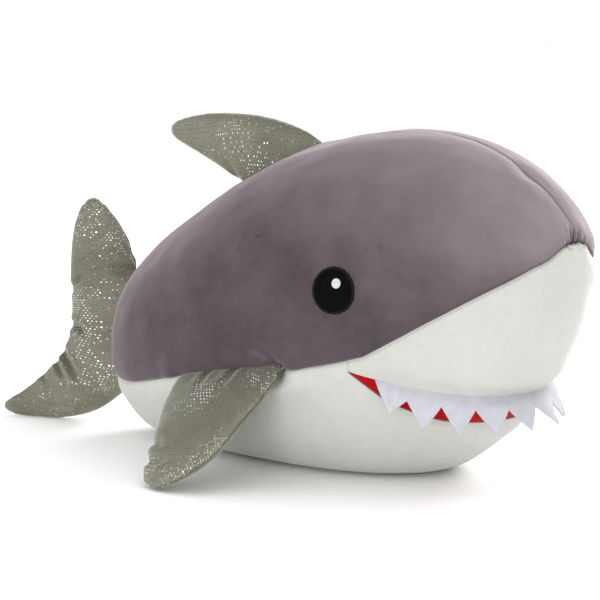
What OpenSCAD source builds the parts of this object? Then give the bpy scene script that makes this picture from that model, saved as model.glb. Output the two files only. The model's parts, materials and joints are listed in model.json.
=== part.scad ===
// Plush shark, sewn from flat panels and filled with fibre.
// +X points to the nose, +Z is up, and the flattened belly rests on z = 0.
// A point of the body's skin is found from two angles: "th" is 0 at the nose pole and 180 at the
// tail pole, and "v" goes round the body from 0 at the right side up to 90 on the back.

/* [Body] */
// Length of the body without its fins
body_l = 484; // [420:1:540]
// Width of the body at its middle
body_w = 280; // [250:1:310]
// Height of the back above the body's middle line
back_h = 134; // [124:1:144]
// Depth of the belly below the body's middle line
belly_d = 166; // [160:1:176]
// Height of the body's middle line above the floor
middle_z = 146; // [140:1:152]
// How far the middle line rises from the middle of the body to the nose
nose_rise = 52; // [45:1:58]
// Thickness of the pile fabric
fabric_t = 2; // [1.5:0.1:2.2]

/* [Side seam] */
// Angle of the side seam below the middle line at the tail
seam_angle = -21; // [-24:0.5:-18]
// How much the side seam climbs towards the nose, in degrees
seam_climb = 11; // [8:0.5:13]
// Where that climb begins, in degrees from the nose pole
climb_start = 64; // [60:1:67]

/* [Mouth] */
// Half width of the mouth, in degrees round the nose pole
mouth_reach = 62.5; // [60:0.5:64]
// Angle of the mouth's corners below the nose pole
corner_drop = 24.6; // [24.2:0.1:25]
// Angle of the upper lip below the nose pole
upper_lip_drop = 33.9; // [32:0.1:35]
// Angle of the lower lip below the nose pole
lower_lip_drop = 40.4; // [38:0.1:43]

/* [Teeth] */
// Number of teeth on the strip
tooth_n = 11; // [7:2:15]
// Length of a tooth with the strip above it
tooth_l = 34; // [28:1:38]
// Height of the strip above the teeth
strip_h = 12; // [8:1:16]
// Thickness of the felt
felt_t = 1.5; // [1:0.1:1.8]

/* [Eyes] */
// Diameter of an eye with its stitched border
eye_d = 40; // [30:1:44]
// Eye centre in front of the middle of the body
eye_x = 90; // [75:1:100]
// Height of the eye centre above the floor
eye_z = 169; // [160:1:180]

/* [Fins] */
// Thickness of the stuffed dorsal fin
dorsal_t = 30; // [20:1:34]
// Thickness of a stuffed pectoral fin
pectoral_t = 28; // [20:1:32]
// Thickness of the stuffed tail fin
tail_t = 34; // [24:1:40]
// How far the tail fin is turned to the shark's right at rest, in degrees
tail_turn = 20; // [0:1:30]

/* [Hidden] */

grey = [0.40, 0.36, 0.38];
white = [0.86, 0.86, 0.83];
olive = [0.53, 0.52, 0.46];
filling = [0.94, 0.94, 0.92];

half_l = body_l / 2;
half_w = body_w / 2;
floor_blend = 12;      // height over which the belly curves into its flat underside
thread_r = 0.5;
thread_inset = fabric_t + 0.95;
filling_inset = fabric_t + 1.9;
tail_end = 178;        // the panels stop here, just short of the tail pole

// ---- the body's shape, with s = cos(th) running from -1 at the tail to 1 at the nose ----
function side_half(s) = half_w * (1 - 0.05 * s + 0.07 * pow(s, 4));
function back_half(s) = back_h * (1 + 0.15 * s - 0.32 * pow(s, 3));
function belly_half(s) = belly_d * (1 + 0.35 * s + 0.11 * s * s - 0.42 * pow(s, 3));
function middle(s) = middle_z + nose_rise * s - 7 * s * s;
function on_floor(z) = z < -floor_blend ? 0
  : z < floor_blend ? pow(z + floor_blend, 2) / (4 * floor_blend) : z;
// A point of the body's skin, or of a skin "inset" millimetres inside it
function body_point(th, v, inset = 0) =
  let (s = cos(th), r = sin(th), half = sin(v) > 0 ? back_half(s) : belly_half(s))
  [(half_l - inset) * s,
   -(side_half(s) - inset) * r * cos(v),
   inset + on_floor(middle(s) + (half - inset) * r * sin(v) - inset)];
// The same point from flat coordinates round the nose pole: a to the right, b upwards
function nose_point(ab, inset = 0) = body_point(norm(ab), atan2(ab[1], ab[0]), inset);

// ---- seam and lip lines ----
nose_gap = 7.45;       // the side seams close round the nose at about this angle
nose_curl = 143;       // how sharply they turn up there
apex = nose_gap + nose_curl / (90 - seam_angle - seam_climb * (1 - pow(8.9 / climb_start, 2)));
function seam_v(th) = seam_angle + seam_climb * max(0, 1 - pow(th / climb_start, 2))
  + nose_curl / (th - nose_gap);
function upper_lip(a) = -upper_lip_drop
  + (upper_lip_drop - corner_drop) * pow(abs(a) / mouth_reach, 2);
function lower_lip(a) = -lower_lip_drop
  + (lower_lip_drop - corner_drop - 0.3) * pow(abs(a) / mouth_reach, 3);
corner_th = norm([mouth_reach, corner_drop]);

lip_n = 16;            // steps from the middle of the mouth to its corner
rear_n = 18;           // steps from the mouth's corner to the tail
function front_th(i) = apex + (corner_th - apex) * pow(i / lip_n, 2);
function rear_th(j) = corner_th + (tail_end - corner_th) * j / rear_n;
seam_ths = concat([for (i = [0:lip_n]) front_th(i)], [for (j = [1:rear_n]) rear_th(j)]);
function lip_a(i) = mouth_reach * i / lip_n;
// The seam beside step i as flat coordinates, ending on the back's middle line
function seam_ab(i) = i == 0 ? [0, apex]
  : let (th = front_th(abs(i)), v = seam_v(th)) [sign(i) * th * cos(v), th * sin(v)];

// ---- solids from grids of points ----
function flat(lists) = [for (list = lists) each list];
function reversed(list) = [for (i = [len(list) - 1:-1:0]) list[i]];
// A closed sheet between two grids that have the same rows and columns
module sheet(outer, inner) {
  rows = len(outer);
  cols = len(outer[0]);
  under = rows * cols;
  rim = concat([for (j = [0:cols - 1]) j],
    [for (i = [1:rows - 1]) i * cols + cols - 1],
    [for (j = [cols - 2:-1:0]) (rows - 1) * cols + j],
    [for (i = [rows - 2:-1:1]) i * cols]);
  top = [for (i = [0:rows - 2], j = [0:cols - 2])
    let (a = i * cols + j) each [[a, a + cols, a + cols + 1], [a, a + cols + 1, a + 1]]];
  bottom = [for (f = top) [f[2] + under, f[1] + under, f[0] + under]];
  wall = [for (k = [0:len(rim) - 1])
    let (p = rim[k], q = rim[(k + 1) % len(rim)])
    each [[p, q, q + under], [p, q + under, p + under]]];
  polyhedron(concat(flat(outer), flat(inner)), concat(top, bottom, wall));
}
// A closed skin over rings of points, with a point at each end
module ringed(first, rings, last) {
  n = len(rings[0]);
  end = 1 + n * len(rings);
  caps = [for (k = [0:n - 1]) let (m = (k + 1) % n)
    each [[0, 1 + m, 1 + k], [end, end - n + k, end - n + m]]];
  sides = [for (i = [0:len(rings) - 2], k = [0:n - 1])
    let (m = (k + 1) % n, a = 1 + i * n)
    each [[a + k, a + m, a + n + m], [a + k, a + n + m, a + n + k]]];
  polyhedron(concat([first], flat(rings), [last]), concat(caps, sides));
}
// A closed band over rings of points that come back to the first ring
module banded(rings) {
  n = len(rings[0]);
  total = n * len(rings);
  polyhedron(flat(rings), [for (i = [0:len(rings) - 1], k = [0:n - 1])
    let (m = (k + 1) % n, a = i * n, b = (a + n) % total)
    each [[a + k, a + m, b + m], [a + k, b + m, b + k]]]);
}
// A thread swept along points
module thread(path) {
  sides = 6;
  last = len(path) - 1;
  rings = [for (k = [0:last])
    let (along = path[min(last, k + 1)] - path[max(0, k - 1)],
      out = path[k] - [0, 0, middle_z],
      u = cross(along, out) / norm(cross(along, out)),
      w = cross(u, along) / norm(cross(u, along)))
    [for (m = [0:sides - 1]) path[k] + thread_r * (u * cos(60 * m) + w * sin(60 * m))]];
  ringed(path[0], rings, path[last]);
}

// ---- the panels of the body ----
back_n = 11;
function back_grid(inset) = [for (th = seam_ths)
  let (v = min(87, seam_v(th)))
  [for (k = [0:back_n]) body_point(th, v + (90 - v) * k / back_n, inset)]];
module back_panel() color(grey) sheet(back_grid(0), back_grid(fabric_t));
module back_panel_right() back_panel();
module back_panel_left() mirror([0, 1, 0]) back_panel();

muzzle_n = 7;
function muzzle_grid(inset) = [for (k = [0:muzzle_n])
  [for (i = [-lip_n:lip_n])
    let (lip = [lip_a(i), upper_lip(lip_a(i))])
    nose_point(seam_ab(i) + (lip - seam_ab(i)) * k / muzzle_n, inset)]];
module muzzle_panel() color(white) sheet(muzzle_grid(0), muzzle_grid(fabric_t));

lining_n = 3;
function lining_grid(inset) = [for (k = [0:lining_n])
  [for (i = [-lip_n:lip_n])
    let (a = lip_a(i), top = upper_lip(a), low = lower_lip(a))
    nose_point([a, top + (low - top) * k / lining_n], inset)]];
module mouth_lining() color("crimson") sheet(lining_grid(0), lining_grid(fabric_t));

// Front edge of the belly panel from the left seam to the right one, as [th, q], where q is -1 and 1
// on the seams and 0 under the middle line
function seam_share(ab) = let (th = norm(ab), v = atan2(ab[1], abs(ab[0])))
  [th, sign(ab[0]) * (v + 90) / (seam_v(th) + 90)];
belly_half_edge = concat([for (i = [1:lip_n]) seam_share([lip_a(i), lower_lip(lip_a(i))])],
  [seam_share([mouth_reach, -corner_drop]), [corner_th, 1]]);
belly_edge = concat([for (p = reversed(belly_half_edge)) [p[0], -p[1]]],
  [[lower_lip_drop, 0]], belly_half_edge);
belly_cols = len(belly_edge) - 1;
function belly_point(j, c, inset) =
  let (f = j / rear_n, edge = belly_edge[c],
    th = edge[0] + (tail_end - edge[0]) * f,
    q = edge[1] + (2 * c / belly_cols - 1 - edge[1]) * f,
    v = -90 + abs(q) * (seam_v(th) + 90))
  body_point(th, q < 0 ? 180 - v : v, inset);
function belly_grid(inset) = [for (j = [0:rear_n])
  [for (c = [0:belly_cols]) belly_point(j, c, inset)]];
module belly_panel() color(white) sheet(belly_grid(0), belly_grid(fabric_t));

module body_stuffing() color(filling) {
  rows = 22;
  cols = 36;
  inset = filling_inset;
  ringed(body_point(0, 0, inset),
    [for (i = [1:rows - 1]) [for (k = [0:cols - 1])
      body_point(180 * i / rows, -360 * k / cols, inset)]],
    body_point(180, 0, inset));
}

// ---- seam threads, just under the panels ----
module seam_thread(points) color("dimgray") thread(points);
module centre_seam_thread() seam_thread([for (th = [apex + 3:4.5:tail_end - 2])
  body_point(th, 90, thread_inset)]);
module side_seam_thread() seam_thread([for (k = [0:40])
  let (th = apex + 3 + (tail_end - apex - 5) * pow(k / 40, 1.5))
  body_point(th, seam_v(th), thread_inset)]);
module side_seam_thread_right() side_seam_thread();
module side_seam_thread_left() mirror([0, 1, 0]) side_seam_thread();
module lip_thread(low) color("white") thread([for (i = [-lip_n + 1:lip_n - 1])
  nose_point([lip_a(i), low ? lower_lip(lip_a(i)) : upper_lip(lip_a(i))], thread_inset)]);
module upper_lip_thread() lip_thread(false);
module lower_lip_thread() lip_thread(true);

// ---- the felt tooth strip, which hangs from the upper lip ----
strip_reach = 0.893;   // share of the upper lip that the strip covers
steps = 8;             // columns for each tooth
tooth_rows = 4;
flare = 0.5;           // how far the middle teeth lean out for their length
// Length of the felt at column c: full at each tooth's tip, the strip alone between teeth
function felt_drop(c) = let (u = abs(1 - 2 * ((c % steps) / steps)))
  strip_h + (tooth_l - strip_h) * (1 - u) * (0.5 + 0.5 * end_share(c));
function end_share(c) = let (u = abs(2 * c / (steps * tooth_n) - 1)) 1 - pow(u, 4);
function strip_point(c, k, lift) =
  let (u = 2 * c / (steps * tooth_n) - 1,
    a = mouth_reach * strip_reach * (1.11 * u - 0.11 * pow(u, 3)), // even steps along the lip
    lip = nose_point([a, upper_lip(a)], -0.4),
    ahead = nose_point([a + 1, upper_lip(a + 1)], -0.4) - lip,
    out = [ahead[1], -ahead[0], 0] / norm([ahead[0], ahead[1]]),
    drop = felt_drop(c) * k / tooth_rows,
    lean = flare * (1 - 0.75 * u * u))
  lip - out * (lift + drop * lean) - [0, 0, drop * cos(25 * lean)];
function strip_grid(lift) = [for (k = [0:tooth_rows])
  [for (c = [0:steps * tooth_n]) strip_point(c, k, lift)]];
module tooth_strip() color("white") sheet(strip_grid(felt_t), strip_grid(0));

// ---- the eyes ----
function eye_point(p, q, lift) =
  let (s = (eye_x + p) / half_l, z = eye_z + q - middle(s),
    half = z > 0 ? back_half(s) : belly_half(s))
  body_point(acos(s), asin(z / (half * sin(acos(s)))), -lift);
slant = 0.94;          // the side of the head turns this much towards the nose
eye_sides = 24;
function eye_ring(r, lift, x = 0, z = 0) = [for (k = [0:eye_sides - 1])
  eye_point(x + slant * r * cos(360 * k / eye_sides), z + r * sin(360 * k / eye_sides), lift)];
module eye_disc(r, low, high, x = 0, z = 0) ringed(eye_point(x, z, high),
  [eye_ring(r / 2, high, x, z), eye_ring(r, high, x, z), eye_ring(r, low, x, z),
   eye_ring(r / 2, low, x, z)], eye_point(x, z, low));
border_w = 2.6;
module eye_patch_right() color("black") eye_disc(eye_d / 2 - border_w, 0.25, 1.2);
module eye_border_right() color("black") banded([
  eye_ring(eye_d / 2 - border_w, 1.7), eye_ring(eye_d / 2, 1.7),
  eye_ring(eye_d / 2, 0.25), eye_ring(eye_d / 2 - border_w, 0.25)]);
module eye_highlight_right() color("white") eye_disc(4.6, 1.4, 2.1, 3.4, 6.5);
module eye_patch_left() mirror([0, 1, 0]) eye_patch_right();
module eye_border_left() mirror([0, 1, 0]) eye_border_right();
module eye_highlight_left() mirror([0, 1, 0]) eye_highlight_right();

// ---- stuffed fins ----
// A smooth closed curve through hand-set points, "n" points from each to the next
function curve(p, n) = [for (i = [0:len(p) - 1], k = [0:n - 1])
  let (m = len(p), t = k / n, a = p[(i + m - 1) % m], b = p[i], c = p[(i + 1) % m],
    d = p[(i + 2) % m])
  b + t / 2 * (c - a) + t * t / 2 * (2 * a - 5 * b + 4 * c - d)
    + t * t * t / 2 * (3 * (b - c) + d - a)];
felt_edge = 0.95;      // the panels lie flat on each other outside this share of the outline
fin_skin = 1.3;
function bulge(r, t) = (t / 2 - fin_skin) * pow(max(0, 1 - pow(r / felt_edge, 2)), 0.7);
// Rings of a fin lying in the XY plane: r is the share of the way from the heart to the outline
function fin_ring(outline, heart, r, z) = [for (p = outline)
  let (q = heart + r * (p - heart)) [q[0], q[1], z]];
module fin_panel(outline, heart, t) color(olive) {
  shares = [0.3, 0.55, 0.75, 0.88, felt_edge, 1];
  ringed([heart[0], heart[1], bulge(0, t) + fin_skin],
    concat([for (r = shares) fin_ring(outline, heart, r, bulge(r, t) + fin_skin)],
      [for (r = reversed(shares)) fin_ring(outline, heart, r, bulge(r, t))]),
    [heart[0], heart[1], bulge(0, t)]);
}
module fin_stuffing(outline, heart, t) color(filling) {
  shares = [0.35, 0.6, 0.8, 0.88];
  gap = 0.5;
  ringed([heart[0], heart[1], bulge(0, t) - gap],
    concat([for (r = shares) fin_ring(outline, heart, r, bulge(r, t) - gap)],
      [for (r = reversed(shares)) fin_ring(outline, heart, r, gap - bulge(r, t))]),
    [heart[0], heart[1], gap - bulge(0, t)]);
}
// The thread that joins the two panels runs inside the fin, between the stuffing and the edge
module fin_thread(outline, heart) color("gray") {
  share = 0.915;
  banded([for (m = [0:5]) [for (p = outline)
    let (out = (p - heart) / norm(p - heart), q = heart + share * (p - heart))
    [q[0] + thread_r * cos(60 * m) * out[0], q[1] + thread_r * cos(60 * m) * out[1],
     -thread_r * sin(60 * m)]]]);
}
module other_side() mirror([0, 0, 1]) children();

// Dorsal fin, drawn in the body's middle plane as [x, z]
root_gap = 3;
function back_line(x) = let (s = x / half_l)
  [x, middle(s) + back_half(s) * sqrt(1 - s * s) + root_gap];
dorsal_heart = [-95, 270];
dorsal_outline = curve([back_line(-22), [-48, 288], [-88, 297], [-129, 299], [-160, 297],
  [-188, 291], [-198, 284], [-192, 275], [-166, 264], [-136, 251],
  back_line(-112), back_line(-82), back_line(-52)], 2);
module dorsal_place() rotate([90, 0, 0]) children();
module dorsal_panel_right() dorsal_place() fin_panel(dorsal_outline, dorsal_heart, dorsal_t);
module dorsal_panel_left() dorsal_place()
  other_side() fin_panel(dorsal_outline, dorsal_heart, dorsal_t);
module dorsal_stuffing() dorsal_place() fin_stuffing(dorsal_outline, dorsal_heart, dorsal_t);
module dorsal_seam_thread() dorsal_place() fin_thread(dorsal_outline, dorsal_heart);

// Pectoral fins, drawn as [along the root, out from the body]
pectoral_heart = [57, 46];
pectoral_outline = curve([[2, 3], [30, 3], [59, 3], [88, 3], [117, 4], [112, 26], [101, 52],
  [88, 80], [68, 98], [52, 107], [35, 110], [17, 101], [12, 80], [8, 54], [1, 27]], 2);
root_start = [-83, -128, 74];  // rear end of the right fin's root
root_turn = -3;                // the root follows the side seam: turned about Z,
root_climb = 11.5;             // climbing towards the nose,
pectoral_droop = 46;           // and the fin hangs below the horizontal by this much
module pectoral_place() translate(root_start) rotate([0, 0, root_turn])
  rotate([0, -root_climb, 0]) rotate([180 + pectoral_droop, 0, 0]) children();
module pectoral_right_upper_panel() pectoral_place()
  other_side() fin_panel(pectoral_outline, pectoral_heart, pectoral_t);
module pectoral_right_lower_panel() pectoral_place()
  fin_panel(pectoral_outline, pectoral_heart, pectoral_t);
module pectoral_right_stuffing() pectoral_place()
  fin_stuffing(pectoral_outline, pectoral_heart, pectoral_t);
module pectoral_right_seam_thread() pectoral_place()
  fin_thread(pectoral_outline, pectoral_heart);
module pectoral_left_upper_panel() mirror([0, 1, 0]) pectoral_right_upper_panel();
module pectoral_left_lower_panel() mirror([0, 1, 0]) pectoral_right_lower_panel();
module pectoral_left_stuffing() mirror([0, 1, 0]) pectoral_right_stuffing();
module pectoral_left_seam_thread() mirror([0, 1, 0]) pectoral_right_seam_thread();

// Tail fin, drawn as [back from the tail pole, up from it]
tail_heart = [44, -8];
tail_outline = curve([[3, 32], [2, 0], [3, -34], [22, -58], [48, -76], [80, -85], [108, -86],
  [134, -85.5], [145, -80], [142, -73], [124, -62], [102, -44], [83, -24], [73, 0], [71, 28],
  [72, 60], [69, 95], [61, 118], [50, 127], [38, 121], [22, 102], [11, 80], [4, 56]], 2);
tail_pole = [-half_l, 0, middle(-1)];
module tail_place() translate(tail_pole) rotate([0, 0, 180 + tail_turn]) rotate([90, 0, 0])
  children();
module tail_panel_right() tail_place()
  other_side() fin_panel(tail_outline, tail_heart, tail_t);
module tail_panel_left() tail_place() fin_panel(tail_outline, tail_heart, tail_t);
module tail_stuffing() tail_place() fin_stuffing(tail_outline, tail_heart, tail_t);
module tail_seam_thread() tail_place() fin_thread(tail_outline, tail_heart);

back_panel_right();
back_panel_left();
muzzle_panel();
belly_panel();
mouth_lining();
tooth_strip();
body_stuffing();
eye_patch_right();
eye_patch_left();
eye_border_right();
eye_border_left();
eye_highlight_right();
eye_highlight_left();
centre_seam_thread();
side_seam_thread_right();
side_seam_thread_left();
upper_lip_thread();
lower_lip_thread();
dorsal_panel_right();
dorsal_panel_left();
dorsal_stuffing();
dorsal_seam_thread();
pectoral_right_upper_panel();
pectoral_right_lower_panel();
pectoral_right_stuffing();
pectoral_right_seam_thread();
pectoral_left_upper_panel();
pectoral_left_lower_panel();
pectoral_left_stuffing();
pectoral_left_seam_thread();
tail_panel_right();
tail_panel_left();
tail_stuffing();
tail_seam_thread();
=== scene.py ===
"""The looks of the plush shark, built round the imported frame.

Lengths are metres in the frame's own axes: +X to the nose, +Z up, the shark's right side at -Y.
A point of the body's skin is named by flat coordinates round the nose pole, in degrees: "a" to the
shark's right and "b" upwards. Their length is the angle from the nose pole, 180 at the tail pole.
"""
import json
import math

import bmesh
import bpy
import numpy as np
from mathutils import Matrix, Vector
from mathutils.geometry import delaunay_2d_cdt
from mathutils.kdtree import KDTree


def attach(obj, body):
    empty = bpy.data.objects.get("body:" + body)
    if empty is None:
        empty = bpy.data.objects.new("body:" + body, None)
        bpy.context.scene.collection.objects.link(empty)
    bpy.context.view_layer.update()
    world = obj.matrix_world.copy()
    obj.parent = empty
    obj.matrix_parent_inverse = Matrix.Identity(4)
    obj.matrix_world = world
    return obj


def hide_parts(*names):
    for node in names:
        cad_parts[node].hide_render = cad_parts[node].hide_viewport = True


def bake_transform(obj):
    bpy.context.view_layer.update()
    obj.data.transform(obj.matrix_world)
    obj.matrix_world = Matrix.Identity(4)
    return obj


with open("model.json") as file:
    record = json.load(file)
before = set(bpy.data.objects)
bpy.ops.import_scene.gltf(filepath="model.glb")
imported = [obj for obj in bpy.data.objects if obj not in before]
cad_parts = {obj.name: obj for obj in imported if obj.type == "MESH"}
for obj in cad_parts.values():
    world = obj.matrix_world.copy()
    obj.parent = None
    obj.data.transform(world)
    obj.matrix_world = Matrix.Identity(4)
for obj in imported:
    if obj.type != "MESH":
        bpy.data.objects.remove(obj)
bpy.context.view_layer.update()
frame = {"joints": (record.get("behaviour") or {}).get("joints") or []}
hinge_at = {joint["name"]: np.array(joint["pos_m"]) for joint in frame["joints"]}
MM = 0.001
SIDES = {"right": 1, "left": -1}

# ---- driving dimensions of the body, as in the CAD source ----
HALF_L = 242 * MM
HALF_W = 140 * MM
BACK_H = 134 * MM                  # from the middle line up to the back
BELLY_D = 166 * MM                 # and down to the belly
MIDDLE_Z = 146 * MM
NOSE_RISE = 52 * MM                # how much the middle line climbs to the nose
MIDDLE_SAG = 7 * MM
FLOOR_BLEND = 12 * MM              # height over which the belly curves into its flat underside
SEAM_ANGLE, SEAM_CLIMB, CLIMB_START = -21.0, 11.0, 64.0
NOSE_GAP, NOSE_CURL = 7.45, 143.0  # where the side seams close round the nose, and how sharply
TAIL_END = 178.0                   # the panels stop here, just short of the tail pole
MOUTH_REACH, CORNER_DROP, UPPER_LIP_DROP = 62.5, 24.6, 33.9

# ---- as seen in the photo, a little off the CAD source ----
LOWER_LIP_DROP = 41.6
REAR_SAG, SAG_START, SAG_LENGTH = 5.0, 100.0, 45.0    # the side seams hang a little at the rear
EYE_X, EYE_Z, EYE_R, BORDER_W = 86.8 * MM, 169 * MM, 19.3 * MM, 2.4 * MM


# ======================================= shape helpers =======================================
def cosd(angle):
    return np.cos(np.radians(angle))


def sind(angle):
    return np.sin(np.radians(angle))


def bump_at(distance, centre, width):
    """A smooth hump, 1 high, at that distance."""
    return np.exp(-(((distance - centre) / width) ** 2))


def both_ends(share):
    """Shares from 0 to 1, moved closer together at both ends."""
    return share - 0.88 * np.sin(2 * np.pi * share) / (2 * np.pi)


def first_end(share):
    """Shares from 0 to 1, moved closer together at the first end."""
    return 2 * both_ends(share / 2)


def ripple(points, length, seed):
    """Smooth unevenness from -1 to 1 with that wave length: plane waves in seeded directions."""
    random = np.random.default_rng(seed)
    total = np.zeros(points.shape[:-1])
    waves = 7
    for _ in range(waves):
        direction = random.normal(size=3)
        direction *= random.uniform(0.7, 1.4) / np.linalg.norm(direction)
        total += np.sin(points @ direction * (2 * np.pi / length) + random.uniform(0, 2 * np.pi))
    return total / 4


def smooth_curve(points, steps):
    """A closed smooth curve through the points, with that many steps from each to the next."""
    p = np.array(points, float)
    a, b, c, d = np.roll(p, 1, 0), p, np.roll(p, -1, 0), np.roll(p, -2, 0)
    t = (np.arange(steps) / steps)[None, :, None]
    a, b, c, d = a[:, None], b[:, None], c[:, None], d[:, None]
    curve = b + t / 2 * (c - a)
    curve = curve + t**2 / 2 * (2 * a - 5 * b + 4 * c - d) + t**3 / 2 * (3 * (b - c) + d - a)
    return curve.reshape(-1, p.shape[1])


def lengths_along(points):
    """How far along the line each of its points lies."""
    steps = np.linalg.norm(np.diff(points, axis=0), axis=1)
    return np.concatenate([[0.0], np.cumsum(steps)])


def sampled(values, arc, at):
    """Values known at the lengths arc of a line, read at other lengths."""
    return np.stack([np.interp(at, arc, values[:, k]) for k in range(values.shape[1])], 1)


def respaced(points, spacing, closed=False):
    """The same line with points that far apart."""
    line = np.vstack([points, points[:1]]) if closed else np.asarray(points)
    arc = lengths_along(line)
    count = max(2, round(arc[-1] / spacing))
    at = np.linspace(0, arc[-1], count + 1)
    return sampled(line, arc, at[:-1] if closed else at)


# ======================================= the body's skin =======================================
# Half sizes and middle height of the cross-section, where s runs from -1 at the tail to 1 at the nose
def side_half(s):
    return HALF_W * (1 - 0.05 * s + 0.07 * s**4)


def back_half(s):
    return BACK_H * (1 + 0.15 * s - 0.32 * s**3)


def belly_half(s):
    return BELLY_D * (1 + 0.35 * s + 0.11 * s**2 - 0.42 * s**3)


def middle(s):
    return MIDDLE_Z + NOSE_RISE * s - MIDDLE_SAG * s**2


def on_floor(z):
    """The height with everything below the floor pressed flat."""
    blended = np.where(z < -FLOOR_BLEND, 0, (z + FLOOR_BLEND) ** 2 / (4 * FLOOR_BLEND))
    return np.where(z < FLOOR_BLEND, blended, z)


def skin_point(a, b, inset=0.0):
    """Points of the plain skin, or of a skin that far inside it."""
    th = np.hypot(a, b)
    v = np.arctan2(b, a)
    s, r = cosd(th), sind(th)
    half = np.where(np.sin(v) > 0, back_half(s), belly_half(s))
    return np.stack([
        (HALF_L - inset) * s,
        -(side_half(s) - inset) * r * np.cos(v),
        inset + on_floor(middle(s) + (half - inset) * r * np.sin(v) - inset),
    ], -1)


def unit(vectors):
    size = np.linalg.norm(vectors, axis=-1, keepdims=True)
    return vectors / np.maximum(size, 1e-12)


def skin(a, b):
    """Points of the plain skin and its outward normals."""
    step = 0.02
    along = skin_point(a + step, b) - skin_point(a - step, b)
    up = skin_point(a, b + step) - skin_point(a, b - step)
    return skin_point(a, b), unit(np.cross(up, along))


def on_side(x, z):
    """Flat coordinates of the point on the right side at that x and height."""
    s = x / HALF_L
    height = z - middle(s)
    half = np.where(height > 0, back_half(s), belly_half(s))
    th = np.degrees(np.arccos(s))
    v = np.degrees(np.arcsin(height / (half * sind(th))))
    return th * cosd(v), th * sind(v)


# ---- seam and lip lines ----
APEX = NOSE_GAP + NOSE_CURL / (90 - SEAM_ANGLE - SEAM_CLIMB * (1 - (8.9 / CLIMB_START) ** 2))
CORNER_TH = math.hypot(MOUTH_REACH, CORNER_DROP)


def seam_v(th):
    """The angle of the side seam round the long axis, at that angle from the nose pole."""
    climb = SEAM_CLIMB * np.maximum(0, 1 - (th / CLIMB_START) ** 2)
    sag = np.clip((th - SAG_START) / SAG_LENGTH, 0, 1)
    return SEAM_ANGLE + climb + NOSE_CURL / (th - NOSE_GAP) - REAR_SAG * sag * sag * (3 - 2 * sag)


def on_seam(th, side):
    """Flat coordinates on the right (1) or left (-1) side seam."""
    return side * th * cosd(seam_v(th)), th * sind(seam_v(th))


def upper_lip(a):
    return -UPPER_LIP_DROP + (UPPER_LIP_DROP - CORNER_DROP) * (np.abs(a) / MOUTH_REACH) ** 2


def lower_lip(a):
    """The lower lip ends just below the corner, so that it never crosses the upper one."""
    return -LOWER_LIP_DROP + (LOWER_LIP_DROP - CORNER_DROP - 0.3) * (np.abs(a) / MOUTH_REACH) ** 3.4


class Line:
    """A line on the skin. It tells how far points lie from it, and how far along it they are."""

    def __init__(self, a, b):
        self.points = respaced(skin_point(np.asarray(a, float), np.asarray(b, float)), 0.6 * MM)
        self.arc = lengths_along(self.points)
        self.tree = KDTree(len(self.points))
        for index, point in enumerate(self.points):
            self.tree.insert(point, index)
        self.tree.balance()

    def near(self, points):
        """How far each point is from the line, and how far along the line it lies."""
        found = [self.tree.find(point) for point in points.tolist()]
        index = np.array([hit[1] for hit in found])
        return np.array([hit[2] for hit in found]), self.arc[index]

    def inside(self, arc, reach):
        """0 at both ends of the line, and 1 from that far inside on."""
        return np.clip(np.minimum(arc, self.arc[-1] - arc) / reach, 0, 1)


seam_th = APEX + 0.02 + (TAIL_END - APEX) * np.linspace(0, 1, 900) ** 1.6
side_seams = [Line(*on_seam(seam_th, side)) for side in SIDES.values()]
back_th = np.linspace(APEX, TAIL_END, 500)
centre_seam = Line(0 * back_th, back_th)
lip_a = np.linspace(-MOUTH_REACH, MOUTH_REACH, 300)
lip_upper = Line(lip_a, upper_lip(lip_a))
lip_lower = Line(lip_a, lower_lip(lip_a))

DORSAL_ROOT = (95.0, 117.0)        # angles from the nose pole, on the back's middle line
PECTORAL_ROOT = (82.5, 110.0)      # along the side seam
TAIL_ROOT = (170.0, 180.0)         # to the tail pole, from below and from above
root_th = np.linspace(*DORSAL_ROOT, 60)
fin_roots = [Line(0 * root_th, root_th)]
root_th = np.linspace(*PECTORAL_ROOT, 60)
fin_roots += [Line(*on_seam(root_th, side)) for side in SIDES.values()]
root_th = np.linspace(*TAIL_ROOT, 30)
fin_roots.append(Line(0 * np.tile(root_th, 2), np.concatenate([-root_th, root_th[::-1]])))

# Creases in the grey fabric above the nose, as [a, b] from the seam upwards
NOSE_CREASES = [
    [(1.9, 8.6), (1.7, 12.5), (1.3, 17.5)],
    [(0.2, 9.4), (-0.3, 12.0), (-0.5, 15.5)],
    [(-2.0, 8.6), (-2.6, 12.0), (-3.0, 15.0)],
    [(4.2, 6.8), (4.9, 9.0), (5.3, 11.0)],
    [(-4.4, 6.6), (-5.4, 9.0), (-6.0, 11.0)],
]
nose_creases = [Line(*np.array(crease).T) for crease in NOSE_CREASES]
# The fold from the front end of a pectoral root, up and back, as x and z
fold_x = np.array([28, 29, 26, 19, 8, -6]) * MM
fold_z = np.array([93, 102, 109, 114, 117, 118]) * MM
fold_a, fold_b = on_side(fold_x, fold_z)
root_folds = [Line(side * fold_a, fold_b) for side in SIDES.values()]
# Where the skin is less full: centre, reach, reach sideways and depth
SLACK = [
    (skin_point(0.0, 38.0), 13 * MM, 13 * MM, 2.6 * MM),                  # the centre seam above the nose
    (np.array([-165, 0, 200]) * MM, 85 * MM, 136 * MM, 6.5 * MM),         # the back behind the dorsal fin
    (np.array([232, 0, 175]) * MM, 48 * MM, 48 * MM, 4.0 * MM),           # the nose
]
EYE_A, EYE_B = on_side(EYE_X, EYE_Z)


def groove(distance, depth, width, swell=0.0, swell_at=15 * MM, swell_width=9 * MM):
    """A groove along a line, and the cloth that swells up beside it."""
    return swell * bump_at(distance, swell_at, swell_width) - depth * bump_at(distance, 0, width)


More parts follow.
